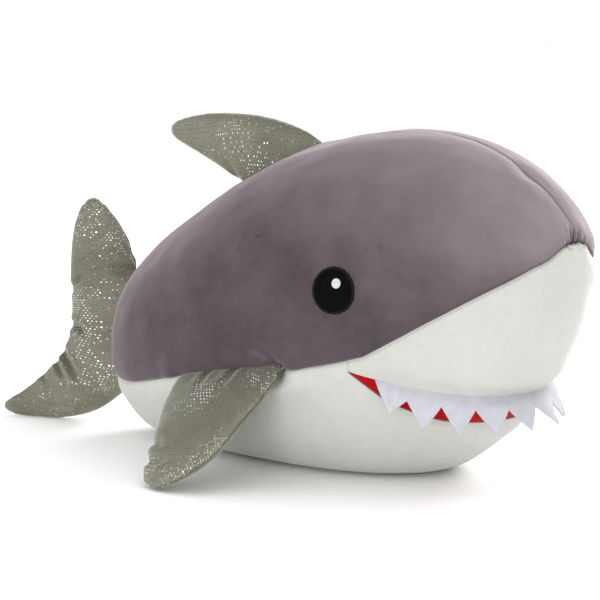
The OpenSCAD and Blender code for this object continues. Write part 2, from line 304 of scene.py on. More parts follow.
def gathers(distance, arc, pitch, reach, depth, seed):
    """Narrow creases that run away from a seam and fade out."""
    random = np.random.default_rng(seed)
    phase = random.uniform(0, 10, 3)
    wander = 0.35 * pitch * (np.sin(arc / pitch * 1.1 + phase[0]) + np.sin(arc / pitch * 0.43 + phase[1]))
    share = 0.55 + 0.45 * np.sin(arc / pitch * 0.77 + phase[2])
    valley = (1 - np.abs(np.sin(np.pi * (arc + wander) / pitch))) ** 3
    return -depth * share * valley * np.exp(-distance / reach)


def seam_relief(flat):
    """Grooves and gathers along the side seams, and a shallower groove along the centre seam."""
    h = 0
    for line, deep, seed in ((side_seams[0], 1.0, 11), (side_seams[1], 1.0, 12), (centre_seam, 0.4, 13)):
        distance, arc = line.near(flat)
        h += deep * groove(distance, 2.1 * MM, 1.6 * MM)
        h += deep * groove(distance, 1.4 * MM, 7 * MM, swell=0.9 * MM)
        h += gathers(distance, arc, 7.5 * MM, 5 * MM, 0.55 * MM, seed)
        if line is not centre_seam:
            front = bump_at(arc, 0, 45 * MM)
            h += gathers(distance, arc, 4.6 * MM, 7 * MM, 2.2 * MM, seed + 20) * front
    return h


def lip_relief(flat):
    """Grooves along the lips, with puffed cloth beside them. They fade out at the mouth's corners."""
    distance, arc = lip_lower.near(flat)
    fade = lip_lower.inside(arc, 45 * MM)
    h = fade * groove(distance, 1.0 * MM, 3 * MM)
    h += fade * groove(distance, 0.7 * MM, 9 * MM, swell=1.0 * MM)
    h += gathers(distance, arc, 9 * MM, 6 * MM, 0.4 * MM, 16)
    distance, arc = lip_upper.near(flat)
    h += lip_upper.inside(arc, 30 * MM) * groove(distance, 2.2 * MM, 6 * MM, 1.5 * MM, swell_at=17 * MM)
    return h + gathers(distance, arc, 9 * MM, 6 * MM, 0.35 * MM, 15)


def root_relief(flat):
    """A groove with gathers at each fin's root, and the fold in front of each pectoral root."""
    h = 0
    for line, seed in zip(fin_roots, (17, 18, 19, 20)):
        distance, arc = line.near(flat)
        h += groove(distance, 2.6 * MM, 7 * MM, 1.8 * MM, swell_width=8 * MM)
        h += gathers(distance, arc, 11 * MM, 9 * MM, 1.5 * MM, seed)
    for line in root_folds:
        distance, arc = line.near(flat)
        fade = (1 - arc / line.arc[-1]) ** 0.7
        h += fade * groove(distance, 5.0 * MM, 5.5 * MM, 1.0 * MM, swell_at=13 * MM, swell_width=7 * MM)
    return h


def nose_relief(flat):
    """Creases that run up from the seam above the nose and fade out."""
    h = 0
    for line in nose_creases:
        distance, arc = line.near(flat)
        fade = 1 - (arc / line.arc[-1]) ** 2
        h += fade * groove(distance, 2.6 * MM, 1.5 * MM, 0.8 * MM, swell_at=4 * MM, swell_width=2 * MM)
    return h


def plump(points):
    """How far the stuffed skin stands out of the plain shape, at points of the plain skin."""
    flat = points.reshape(-1, 3)
    h = 0.9 * MM * ripple(flat, 120 * MM, 3) + 0.35 * MM * ripple(flat, 38 * MM, 5)
    h += 0.10 * MM * ripple(flat, 11 * MM, 6)
    h += seam_relief(flat) + lip_relief(flat) + root_relief(flat) + nose_relief(flat)
    for centre, reach, sideways, depth in SLACK:
        away = np.linalg.norm((flat - centre) / [reach, sideways, reach], axis=1)
        h -= depth * bump_at(away, 0, 1)
    for side in SIDES.values():
        eye = np.linalg.norm(flat - skin_point(side * EYE_A, EYE_B), axis=1)
        h += 0.5 * MM * (bump_at(eye, EYE_R + 2 * MM, 1.6 * MM) - bump_at(eye, EYE_R - 1 * MM, 2 * MM))
    # the underside stays flat on the floor
    lift = np.clip(flat[:, 2] / (14 * MM), 0, 1)
    return (h * (0.15 + 0.85 * lift)).reshape(points.shape[:-1])


def stuffed_skin(a, b, lift=0.0):
    """Points on the stuffed skin, that far above the cloth, and the plain skin's normals."""
    points, normals = skin(a, b)
    return points + normals * (plump(points) + lift)[..., None], normals


# ======================================= meshes =======================================
def new_object(name, points, faces):
    """A smooth-shaded mesh object."""
    mesh = bpy.data.meshes.new(name)
    mesh.from_pydata(np.asarray(points).tolist(), [], [list(map(int, f)) for f in faces])
    mesh.validate()
    mesh.shade_smooth()
    made = bpy.data.objects.new(name, mesh)
    bpy.context.scene.collection.objects.link(made)
    return made


def grid_faces(rows, cols):
    """The faces of a grid of points, as corner numbers."""
    i, j = np.meshgrid(np.arange(rows - 1), np.arange(cols - 1), indexing="ij")
    a = (i * cols + j).ravel()
    return np.stack([a, a + cols, a + cols + 1, a + 1], 1)


def grid_normals(grid, outward):
    """Normals of a grid of points, turned to the same side as outward."""
    normals = np.cross(np.gradient(grid, axis=0), np.gradient(grid, axis=1))
    lost = np.linalg.norm(normals, axis=-1) < 1e-13
    if (normals * outward).sum() < 0:
        normals = -normals
    normals = unit(normals)
    normals[lost] = outward[lost]
    return normals


def rim_of(rows, cols):
    """The corner numbers of a grid's rim, in order."""
    return np.concatenate([
        np.arange(cols), np.arange(1, rows) * cols + cols - 1,
        (rows - 1) * cols + np.arange(cols - 2, -1, -1), np.arange(rows - 2, 0, -1) * cols])


def cloth_sheet(name, grid, outward, thickness):
    """A closed sheet of cloth: the grid is its outer face, and outward its rough normals."""
    rows, cols = grid.shape[:2]
    inner = grid - grid_normals(grid, outward) * thickness
    count = rows * cols
    faces = grid_faces(rows, cols)
    a, b, c = (grid.reshape(-1, 3)[faces[:, k]] for k in (0, 1, 2))
    if (np.cross(b - a, c - a) * outward.reshape(-1, 3)[faces[:, 0]]).sum() < 0:
        faces = faces[:, ::-1]
    rim = rim_of(rows, cols)
    after = np.roll(rim, -1)
    wall = np.stack([rim, after, after + count, rim + count], 1)
    edges = {(f[k], f[(k + 1) % 4]) for f in faces.tolist() for k in range(4)}
    if (int(rim[1]), int(rim[2])) in edges:
        wall = wall[:, ::-1]
    points = np.vstack([grid.reshape(-1, 3), inner.reshape(-1, 3)])
    made = new_object(name, points, np.vstack([faces, faces[:, ::-1] + count, wall]))
    tidy_mesh(made)
    return made


def tidy_mesh(made):
    """Joins points that lie on each other, so that no face has lost its area."""
    work = bmesh.new()
    work.from_mesh(made.data)
    bmesh.ops.remove_doubles(work, verts=work.verts, dist=0.004 * MM)
    bmesh.ops.dissolve_degenerate(work, edges=work.edges, dist=0.002 * MM)
    work.to_mesh(made.data)
    work.free()
    made.data.shade_smooth()


# The rows of a seam allowance: how deep below the edge they lie, and how far back from it
FLAP_ROWS = ((1.3 * MM, 0.25 * MM), (4.5 * MM, 0.5 * MM))


def with_flaps(grid, normals):
    """The grid with more rows along its four edges, turned in as seam allowance."""
    for _ in ("rows", "columns"):
        for last in (False, True):
            border, inside = (grid[-1], grid[-4]) if last else (grid[0], grid[3])
            facing = normals[-1] if last else normals[0]
            back = unit(inside - border)
            turned = [border - facing * depth + back * aside for depth, aside in FLAP_ROWS]
            same = [facing] * len(turned)
            grid = np.concatenate([grid, turned] if last else [turned[::-1], grid])
            normals = np.concatenate([normals, same] if last else [same, normals])
        grid, normals = grid.swapaxes(0, 1), normals.swapaxes(0, 1)
    return grid, normals


def ring_faces(rows, cols, first=0):
    """Faces between rows of points that are closed rings. first is the first ring's first number."""
    faces = []
    for start in range(first, first + (rows - 1) * cols, cols):
        for j in range(cols):
            k = (j + 1) % cols
            faces.append((start + j, start + cols + j, start + cols + k, start + k))
    return faces


def tube(name, path, radius):
    """A round strand along a path."""
    sides = 6
    ahead = np.roll(path, -1, 0) - np.roll(path, 1, 0)
    ahead[0], ahead[-1] = path[1] - path[0], path[-1] - path[-2]
    ahead = unit(ahead)
    across = unit(np.cross(ahead, unit(path - path.mean(0))))
    over = np.cross(across, ahead)
    turn = np.arange(sides) / sides * 2 * np.pi
    ring = across[:, None] * np.cos(turn)[None, :, None] + over[:, None] * np.sin(turn)[None, :, None]
    points = (path[:, None] + ring * radius).reshape(-1, 3)
    faces = [face[::-1] for face in ring_faces(len(path), sides)]
    faces += [tuple(range(sides))[::-1], tuple(range(len(points) - sides, len(points)))]
    return new_object(name, points, faces)


def applied(made):
    """Replaces the object's mesh by what its modifiers make of it."""
    graph = bpy.context.evaluated_depsgraph_get()
    mesh = bpy.data.meshes.new_from_object(made.evaluated_get(graph))
    made.modifiers.clear()
    made.data = mesh
    mesh.shade_smooth()
    return made


# ======================================= materials =======================================
def colour(red, green, blue):
    """A colour given as screen values from 0 to 255."""
    def channel(value):
        value /= 255
        return value / 12.92 if value <= 0.04045 else ((value + 0.055) / 1.055) ** 2.4
    return channel(red), channel(green), channel(blue), 1.0


class Nodes:
    """A material and the nodes that make it."""

    def __init__(self, name, roughness, **sockets):
        self.material = bpy.data.materials.new(name)
        self.material.use_nodes = True
        self.tree = self.material.node_tree
        self.shader = self.tree.nodes["Principled BSDF"]
        self.shader.inputs["Roughness"].default_value = roughness
        for socket, value in sockets.items():
            self.shader.inputs[socket.replace("_", " ")].default_value = value

    def add(self, kind, inputs=None, **settings):
        made = self.tree.nodes.new(kind)
        for name, value in settings.items():
            setattr(made, name, value)
        for name, value in (inputs or {}).items():
            if isinstance(value, bpy.types.NodeSocket):
                self.tree.links.new(value, made.inputs[name])
            else:
                made.inputs[name].default_value = value
        return made

    def place(self, flat=False):
        """Where a point lies: in the frame, or on the flat cloth that a piece was cut from."""
        if flat:
            return self.add("ShaderNodeUVMap", uv_map="flat_cloth").outputs[0]
        return self.add("ShaderNodeTexCoord").outputs["Object"]

    def facing(self):
        """The direction the surface faces, in the frame."""
        return self.add("ShaderNodeTexCoord").outputs["Normal"]

    def calc(self, operation, *inputs, clamp=False):
        made = self.add("ShaderNodeMath", dict(enumerate(inputs)), operation=operation)
        made.use_clamp = clamp
        return made.outputs[0]

    def vector(self, operation, *inputs):
        made = self.add("ShaderNodeVectorMath", dict(enumerate(inputs)), operation=operation)
        return made.outputs["Value" if operation == "DOT_PRODUCT" else "Vector"]

    def weighted(self, *pairs):
        """The sum of each value times its weight, kept between 0 and 1."""
        total = 0.0
        for value, weight in pairs:
            total = self.calc("MULTIPLY_ADD", value, weight, total, clamp=True)
        return total

    def noise(self, place, length, detail=2.0, distortion=0.0):
        """Noise from 0 to 1 whose features are about that long."""
        made = self.add("ShaderNodeTexNoise", {"Vector": place, "Scale": 1 / length, "Detail": detail,
                                               "Distortion": distortion})
        return made.outputs["Fac"]

    def spread(self, value, low, high):
        """The value stretched so that low to high becomes 0 to 1."""
        made = self.add("ShaderNodeMapRange", {"Value": value, "From Min": low, "From Max": high})
        return made.outputs["Result"]

    def mix(self, share, first, second):
        made = self.add("ShaderNodeMix", {0: share, 6: first, 7: second}, data_type="RGBA")
        return made.outputs[2]

    def bump(self, height, distance, strength=1.0):
        made = self.add("ShaderNodeBump", {"Height": height, "Distance": distance, "Strength": strength})
        return made.outputs[0]

    def use(self, base, normal=None):
        self.tree.links.new(base, self.shader.inputs["Base Color"])
        if normal is not None:
            self.tree.links.new(normal, self.shader.inputs["Normal"])
        return self.material


def plush(name, dark, light, sheen, tint, patch=1.0, top_front_highlight=None):
    """Short brushed pile: patches of pile brushed either way, mottling and single tufts.
    The last colour, if given, is a painted highlight: it lightens the cloth that faces up and forwards."""
    made = Nodes(name, 0.95, Sheen_Weight=sheen, Sheen_Roughness=0.42, Sheen_Tint=tint,
                 Specular_IOR_Level=0.15)
    place = made.place()
    patches = made.spread(made.noise(place, 55 * MM, 3), 0.36, 0.66)
    strokes = made.spread(made.noise(place, 9 * MM, 4), 0.3, 0.7)
    tufts = made.noise(place, 1.3 * MM, 3)
    share = made.weighted((patches, 0.42 * patch), (strokes, 0.26), (tufts, 0.32))
    smudges = made.spread(made.noise(place, 24 * MM, 4), 0.66, 0.74)
    share = made.calc("SUBTRACT", share, made.calc("MULTIPLY", smudges, 0.5 * patch), clamp=True)
    base = made.mix(share, dark, light)
    # painted highlight: cloth that faces up and forwards is mixed towards a lighter colour
    if top_front_highlight:
        along = made.vector("DOT_PRODUCT", made.facing(), (0.80, 0, 0.60))
        highlight_share = made.spread(along, 0.22, 0.98)
        highlight_share = made.calc("MULTIPLY", highlight_share, made.calc("MULTIPLY_ADD", patches, 0.3, 0.8), clamp=True)
        base = made.mix(highlight_share, base, top_front_highlight)
    fibres = made.noise(place, 0.6 * MM, 2)
    height = made.calc("MULTIPLY_ADD", fibres, 0.5, tufts)
    return made.use(base, made.bump(height, 0.45 * MM, 0.55))


def foil_dots(made, place, pitch, radius):
    """A staggered grid of dots on the flat cloth: (1 on a dot, a random colour for each dot)."""
    row_height = math.sqrt(3) / 2      # as a share of the pitch
    along, up = made.add("ShaderNodeSeparateXYZ", {0: place}).outputs[:2]
    row_place = made.calc("DIVIDE", up, pitch * row_height)
    row = made.calc("FLOOR", row_place)
    stagger = made.calc("MULTIPLY", made.calc("MODULO", row, 2.0), 0.5)
    across = made.calc("ADD", made.calc("DIVIDE", along, pitch), stagger)
    column = made.calc("FLOOR", across)
    x = made.calc("SUBTRACT", made.calc("SUBTRACT", across, column), 0.5)
    y = made.calc("SUBTRACT", made.calc("SUBTRACT", row_place, row), 0.5)
    y = made.calc("MULTIPLY", y, row_height)
    cell = made.add("ShaderNodeCombineXYZ", {0: column, 1: row}).outputs[0]
    random = made.add("ShaderNodeTexWhiteNoise", {"Vector": cell}, noise_dimensions="3D").outputs["Color"]
    away = made.calc("SQRT", made.calc("ADD", made.calc("MULTIPLY", x, x), made.calc("MULTIPLY", y, y)))
    edge = made.calc("DIVIDE", made.calc("SUBTRACT", radius / pitch, away), 0.05)
    return made.calc("ADD", edge, 0.5, clamp=True), random


def glitter_plush():
    """Olive pile with silver foil dots. Each dot is a small mirror that leans its own way."""
    made = Nodes("glitter_plush", 0.9, Sheen_Weight=0.6, Sheen_Roughness=0.4,
                 Sheen_Tint=colour(232, 234, 222), Specular_IOR_Level=0.2)
    place = made.place(flat=True)
    patches = made.spread(made.noise(place, 45 * MM, 3), 0.35, 0.68)
    tufts = made.noise(place, 1.1 * MM, 3)
    strokes = made.noise(place, 7 * MM, 3)
    share = made.weighted((patches, 0.35), (tufts, 0.45), (strokes, 0.2))
    cloth = made.mix(share, colour(88, 87, 75), colour(142, 141, 126))
    # painted shade: cloth that faces up is darkened towards a deeper olive
    upwards = made.add("ShaderNodeSeparateXYZ", {0: made.facing()}).outputs[2]
    cloth = made.mix(made.spread(upwards, 0.25, 0.95), cloth, colour(84, 82, 70))
    pile = made.bump(made.calc("ADD", tufts, strokes), 0.5 * MM, 0.5)
    # the dots: a few are worn off, and the rest carry painted reflections: white glints that gather in
    # bands, dark grey for the others
    dot, random = foil_dots(made, place, 2.75 * MM, 0.46 * MM)
    glint_chance, _, wear = made.add("ShaderNodeSeparateColor", {0: random}).outputs
    dot = made.calc("MULTIPLY", dot, made.calc("GREATER_THAN", wear, 0.16))
    glint_band = made.spread(made.noise(place, 38 * MM, 1.5), 0.44, 0.62)
    bright = made.spread(made.calc("MULTIPLY_ADD", glint_band, 0.75, glint_chance), 0.86, 1.42)
    foil = made.mix(bright, colour(92, 90, 80), colour(255, 255, 250))
    lean = made.vector("SUBTRACT", random, (0.5, 0.5, 0.5))
    lean = made.vector("MULTIPLY", lean, (0.42, 0.42, 0.42))
    plain = made.add("ShaderNodeNewGeometry").outputs["Normal"]
    leaning = made.vector("NORMALIZE", made.vector("ADD", plain, lean))
    normal = made.add("ShaderNodeMix", {0: dot, 4: pile, 5: leaning}, data_type="VECTOR").outputs[1]
    made.tree.links.new(dot, made.shader.inputs["Metallic"])
    rough = made.calc("SUBTRACT", 0.9, made.calc("MULTIPLY", dot, 0.66))
    made.tree.links.new(rough, made.shader.inputs["Roughness"])
    return made.use(made.mix(dot, cloth, foil), normal)


def felt(name, dark, light, sheen):
    """Pressed fibres: fine tangled hairs over soft clouds."""
    made = Nodes(name, 0.95, Sheen_Weight=sheen, Sheen_Roughness=0.5, Specular_IOR_Level=0.08)
    place = made.place()
    hairs = made.noise(place, 1.1 * MM, 5.0, distortion=1.6)
    clouds = made.noise(place, 8 * MM, 3)
    share = made.weighted((hairs, 0.6), (clouds, 0.5))
    base = made.mix(made.spread(share, 0.35, 0.75), dark, light)
    return made.use(base, made.bump(hairs, 0.35 * MM, 0.6))


def spun(name, dark, light, roughness=0.45, sheen=0.3, shine=0.4):
    """Sewing or embroidery thread: fine plies with a soft shine."""
    made = Nodes(name, roughness, Sheen_Weight=sheen, Specular_IOR_Level=shine)
    place = made.place()
    plies = made.noise(place, 0.5 * MM, 2)
    share = made.weighted((plies, 0.6), (made.noise(place, 5 * MM, 2), 0.4))
    return made.use(made.mix(share, dark, light), made.bump(plies, 0.12 * MM, 0.6))


def wadding():
    """Loose polyester fibre: matt, with wisps."""
    made = Nodes("fibre_filling", 1.0, Sheen_Weight=0.6, Sheen_Roughness=0.6)
    wisps = made.noise(made.place(), 3 * MM, 6.0, distortion=2.5)
    base = made.mix(wisps, colour(214, 214, 210), colour(250, 250, 248))
    return made.use(base, made.bump(wisps, 1.5 * MM, 0.8))


MATERIALS = {
    # the grey pile gets a painted highlight where it faces up and forwards
    "grey_plush": plush("grey_plush", colour(62, 54, 58), colour(90, 80, 86), 0.38,
                        colour(255, 240, 246), top_front_highlight=colour(134, 124, 129)),
    "white_plush": plush("white_plush", colour(185, 186, 180), colour(200, 201, 195), 0.3,
                         colour(255, 255, 250), patch=0.5),
    "glitter_plush": glitter_plush(),
    "red_felt": felt("red_felt", colour(146, 0, 10), colour(196, 6, 18), sheen=0.08),
    "white_felt": felt("white_felt", colour(176, 176, 183), colour(198, 198, 206), sheen=0.12),
    "black_felt": felt("black_felt", colour(4, 2, 3), colour(12, 8, 10), sheen=0.0),
    "black_embroidery": spun("black_embroidery", colour(5, 4, 5), colour(16, 13, 15),
                             roughness=0.5, sheen=0.0, shine=0.12),
    "white_embroidery": spun("white_embroidery", colour(184, 184, 184), colour(214, 214, 215), sheen=0.1),
    "seam_thread": spun("seam_thread", colour(74, 66, 71), colour(110, 100, 106)),
    "white_thread": spun("white_thread", colour(206, 206, 200), colour(236, 236, 232)),
    "fibre_filling": wadding(),
}


def finished(piece, node, slot):
    """Gives a piece its material and hides the CAD node it stands for."""
    piece.data.materials.clear()
    piece.data.materials.append(MATERIALS[slot])
    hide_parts(node)
    return piece


def ride_torso(piece, node, slot):
    """A finished piece that rides on the torso."""
    finished(piece, node, slot)
    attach(piece, "torso")
    return piece


# ======================================= the sewn body =======================================
CLOTH_T = 1.4 * MM


def body_panel(name, node, slot, a, b, lift=0.0):
    """A padded panel of the body from a grid of flat coordinates."""
    points, normals = stuffed_skin(a, b, lift)
    piece = ride_torso(cloth_sheet(name, *with_flaps(points, normals), CLOTH_T), node, slot)


def seam_angles(share):
    """Angles from the nose pole for shares of the side seam: from the apex past the mouth's corner
    to the tail."""
    front = APEX + (CORNER_TH - APEX) * (share / 0.45) ** 2
    rear = CORNER_TH + (TAIL_END - CORNER_TH) * (share - 0.45) / 0.55
    return np.where(share < 0.45, front, rear)


def back_panel(side):
    """From the side seam up to the centre seam."""
    th = seam_angles(np.linspace(0, 1, 230))[:, None]
    low = np.minimum(89.4, seam_v(th))
    v = low + (90 - low) * both_ends(np.linspace(0, 1, 92))[None]
    a, b = SIDES[side] * th * cosd(v), th * sind(v)
    body_panel(f"back_{side}", f"back_panel_{side}", "grey_plush", a, b)


LIP_OVERHANG = 1.1                 # degrees that the puffed muzzle reaches over the tooth strip


def muzzle():
    """From the side seams above the nose down to the upper lip. u runs from corner to corner."""
    u = np.linspace(-1, 1, 210)[None]
    lip_b = upper_lip(MOUTH_REACH * u) - LIP_OVERHANG * (1 - u**4)
    th = APEX + (CORNER_TH - APEX) * u**2
    v = seam_v(th)
    top_a = np.where(np.abs(u) < 1e-9, 0, np.sign(u) * th * cosd(v))
    share = both_ends(np.linspace(0, 1, 84))[:, None]
    a = top_a + (MOUTH_REACH * u - top_a) * share
    b = th * sind(v) + (lip_b - th * sind(v)) * share
    body_panel("muzzle", "muzzle_panel", "white_plush", a, b)


def belly():
    """From the lower lip back to the tail. q runs from -1 at the left side seam to 1 at the right one.
    The front edge follows the lip, and its last bit tucks in behind the corner of the mouth."""
    w = np.linspace(-1, 1, 200)
    along_lip = 0.97
    lip = np.sign(w) * MOUTH_REACH * np.clip(np.abs(w) / along_lip, 0, 1)
    th_edge = np.hypot(lip, lower_lip(lip))
    v_edge = np.degrees(np.arctan2(lower_lip(lip), np.abs(lip)))
    q_edge = np.sign(w) * (v_edge + 90) / (seam_v(th_edge) + 90)
    last = np.clip((np.abs(w) - along_lip) / (1 - along_lip), 0, 1)
    tuck = 1.6
    th_edge = th_edge + (CORNER_TH - th_edge) * last - tuck * last
    q_edge = q_edge + (np.sign(w) - q_edge) * last
    even = 2 * both_ends((w + 1) / 2) - 1
    share = first_end(np.linspace(0, 1, 150))[:, None]
    th = th_edge + (TAIL_END - th_edge) * share
    q = q_edge + (even - q_edge) * share ** 0.8
    v = -90 + np.abs(q) * (seam_v(th) + 90)
    under = -0.7 * MM * last * bump_at(share, 0, 0.02)
    body_panel("belly", "belly_panel", "white_plush", np.sign(q) * th * cosd(v), th * sind(v), under)


FELT_T = 1.5 * MM


def mouth_lining():
    """Red felt between the lips, drawn back into the mouth."""
    a = MOUTH_REACH * np.linspace(-1, 1, 200)[None]
    share = np.linspace(0, 1, 22)[:, None]
    b = upper_lip(a) + (lower_lip(a) - upper_lip(a)) * share
    gap = (upper_lip(a) - lower_lip(a)) / (LOWER_LIP_DROP - UPPER_LIP_DROP)
    depth = -(0.9 + 0.9 * np.clip(gap, 0, 1) * np.sin(np.pi * share)) * MM
    points, normals = skin(a + 0 * share, b)
    lips = bump_at(share, 0, 0.2) + bump_at(share, 1, 0.2)
    grid = points + normals * (depth - 1.8 * MM * lips)[..., None]
    piece = ride_torso(cloth_sheet("mouth_lining_felt", grid, normals, FELT_T), "mouth_lining", "red_felt")


# ---- the tooth strip ----
STRIP_H, STRIP_REACH = 12 * MM, 0.893
# Each tooth from the shark's left to its right: how far it stands out in degrees, and its length
TOOTH_TILT = [8, 10, 14, 18, 24, 42, 40, 28, 12, 10, 8]
TOOTH_LENGTH = [25, 33, 34, 33, 27, 33, 34, 33, 34, 34, 25]


def tooth_strip():
    """A felt strip with teeth, sewn in under the upper lip. It hangs free and stands out in front."""
    steps, rows, teeth = 18, 15, len(TOOTH_TILT)
    columns = np.arange(teeth * steps + 1)
    u = 2 * columns / columns[-1] - 1
    a = MOUTH_REACH * STRIP_REACH * (1.11 * u - 0.11 * u**3)     # the end teeth sit a little closer
    lip = skin_point(a, upper_lip(a), -0.4 * MM)
    ahead = skin_point(a + 1, upper_lip(a + 1), -0.4 * MM) - lip
    out = -unit(np.stack([ahead[:, 1], -ahead[:, 0], 0 * u], 1))
    tooth = np.minimum(columns // steps, teeth - 1)
    in_tooth = 1 - np.abs(1 - 2 * (columns % steps) / steps)
    end = np.minimum(columns, columns[-1] - columns) < steps / 2
    least = np.where(end, 2.5 * MM, STRIP_H)
    length = least + (np.array(TOOTH_LENGTH)[tooth] * MM - least) * in_tooth
    tilt = np.interp(columns / steps, np.arange(teeth) + 0.5, TOOTH_TILT)
    random = np.random.default_rng(31)
    curl = (random.uniform(-2.0, 2.2, teeth) * MM)[tooth]
    slant = (random.uniform(-1.4, 1.4, teeth) * MM)[tooth]
    # drop is how far down the felt a point lies, and away is how far it stands out from the lip
    drop = length * np.linspace(0, 1, rows)[:, None]
    below = np.clip((drop - STRIP_H) / (22 * MM), 0, 1)
    away = drop * sind(tilt) + curl * below**1.5 - 4.6 * MM * bump_at(drop, 0, 6 * MM)
    away = away + 0.6 * MM * np.sin(u * 23 + 1) * np.clip(drop / STRIP_H, 0, 1)
    grid = lip + out * away[..., None] + unit(ahead)[None] * (slant * below * in_tooth)[..., None]
    grid[..., 2] -= drop * cosd(tilt)
    normals = np.broadcast_to(out, grid.shape)
    outer = grid + grid_normals(grid, normals) * FELT_T
    piece = ride_torso(cloth_sheet("felt_teeth", outer, normals, FELT_T), "tooth_strip", "white_felt")


# ---- the eyes ----
def eye_points(side, radius, turn, lift, ahead=0.0, above=0.0):
    """Points round an eye: radius and turn as on the flat patch, which faces a little forwards.
    ahead and above move the middle."""
    x = EYE_X + ahead + 0.94 * radius * cosd(turn)
    z = EYE_Z + above + radius * sind(turn)
    a, b = on_side(x, z)
    return stuffed_skin(SIDES[side] * a, b, lift)


def eye_patch(side):
    """A disc of felt, a little domed."""
    size = EYE_R - BORDER_W / 2
    radius = np.linspace(0.002, 1, 26)[:, None] * size
    turn = np.linspace(0, 360, 121)[None]
    lift = (1.0 + 0.9 * (1 - (radius / EYE_R) ** 2) + 0 * turn) * MM
    grid, normals = eye_points(side, radius, turn, lift)
    made = cloth_sheet(f"eye_felt_{side}", grid, normals, 1.0 * MM)
    piece = ride_torso(made, f"eye_patch_{side}", "black_felt")


def eye_border(side):
    """A satin-stitched ring: close stitches across the edge of the felt."""
    stitches, per_stitch, round_steps = 130, 4, 11
    turn = np.linspace(0, 360, stitches * per_stitch + 1)[:, None]
    cross = np.linspace(0, 180, round_steps)[None]
    random = np.random.default_rng(41 if side == "right" else 42)
    uneven = np.repeat(random.uniform(-0.18, 0.18, stitches), per_stitch)
    uneven = np.append(uneven, uneven[0])[:, None] * MM
    thread = np.abs(np.sin(np.radians(turn * stitches / 2)))
    radius = EYE_R - BORDER_W / 2 - (BORDER_W / 2 + uneven) * cosd(cross)
    lift = (0.35 + (1.15 + 0.28 * thread) * sind(cross) ** 0.7) * MM
    grid, normals = eye_points(side, radius, turn + 0 * cross, lift)
    made = cloth_sheet(f"eye_stitches_{side}", grid, normals, 0.5 * MM)
    ride_torso(made, f"eye_border_{side}", "black_embroidery")


def eye_highlight(side):
    """A small domed disc of white satin stitches that lie side by side."""
    size, stitch, slope = 4.1 * MM, 0.85 * MM, 35
    radius = np.linspace(0.002, 1, 26)[:, None] * size
    turn = np.linspace(0, 360, 97)[None]
    thread = np.abs(np.sin(radius * cosd(turn - slope) / stitch * np.pi))
    dome = np.sqrt(np.clip(1 - (radius / size) ** 4, 0, 1))
    lift = (1.6 + 0.9 * dome + 0.34 * thread * dome) * MM
    grid, normals = eye_points(side, radius, turn, lift, ahead=3.0 * MM, above=6.0 * MM)
    made = cloth_sheet(f"eye_light_{side}", grid, normals, 0.8 * MM)
    ride_torso(made, f"eye_highlight_{side}", "white_embroidery")


# ---- the filling and the seam threads of the body ----
def body_filling():
    """Lumpy fibre that fills the body, just inside its cloth."""
    th = np.linspace(0.3, 179.7, 120)[:, None]      # a small hole at each pole is closed by a cap
    v = np.linspace(0, 360, 161)[:-1][None]
    a, b = th * cosd(v), th * sind(v)
    points, normals = skin(a, b)
    lumps = 1.1 * MM * (ripple(points, 40 * MM, 61) + 0.6 * ripple(points, 18 * MM, 62))
    centre_seam_room = 2.8 * MM * bump_at(a, 0, 6) * (b > 0)
    points = skin_point(a, b, 8 * MM) + normals * (lumps - centre_seam_room)[..., None]
    rows, cols = points.shape[:2]
    faces = ring_faces(rows, cols)
    faces += [tuple(range(cols)), tuple(range((rows - 1) * cols, rows * cols))[::-1]]
    made = new_object("fibre_filling_body", points.reshape(-1, 3), faces)
    piece = ride_torso(made, "body_stuffing", "fibre_filling")


STITCH = 3.2 * MM
THREAD_R = 0.35 * MM


def stitched(path, normals, depth):
    """A lockstitch thread: it dips into the cloth and comes up once for each stitch."""
    arc = lengths_along(path)
    at = np.arange(0, arc[-1], STITCH / 6)
    wave = 1 - np.abs(np.sin(at / STITCH * np.pi)) ** 0.5
    facing = unit(sampled(normals, arc, at))
    return sampled(path, arc, at) - facing * (depth + 0.9 * MM * wave)[:, None]


def body_thread(node, a, b, slot="seam_thread", depth=1.6 * MM):
    """A thread along a line on the skin, that deep in it."""
    path = stitched(*stuffed_skin(a, b), depth)
    ride_torso(tube(f"{node}_stitches", path, THREAD_R), node, slot)


def body_threads():
    """The threads of the centre seam, the side seams and the lips."""
    start, end = APEX + 3, TAIL_END - 2
    th = np.linspace(start, end, 500)
    body_thread("centre_seam_thread", 0 * th, th)
    th = start + (end - start) * np.linspace(0, 1, 600) ** 1.5
    for side, sign in SIDES.items():
        body_thread(f"side_seam_thread_{side}", *on_seam(th, sign))
    a = MOUTH_REACH * 0.94 * np.linspace(-1, 1, 400)
    body_thread("upper_lip_thread", a, upper_lip(a), "white_thread", depth=2.2 * MM)
    body_thread("lower_lip_thread", a, lower_lip(a), "white_thread", depth=3.2 * MM)


for side in SIDES:
    back_panel(side)
    eye_patch(side)
    eye_border(side)
    eye_highlight(side)
muzzle()
belly()
body_filling()
mouth_lining()
tooth_strip()
body_threads()


# ======================================= the fins =======================================
def turning(axis, degrees):
    """The matrix that turns by that many degrees about the axis."""
    return np.array(Matrix.Rotation(math.radians(degrees), 3, axis))


SUNK = 7.0                         # how far the dorsal fin is sunk into the back, in millimetres


def back_line(x):
    """Height of the line the dorsal fin starts from, below the back's middle line, in millimetres."""
    s = x * MM / HALF_L
    return (middle(s) + back_half(s) * math.sqrt(1 - s * s)) / MM - SUNK


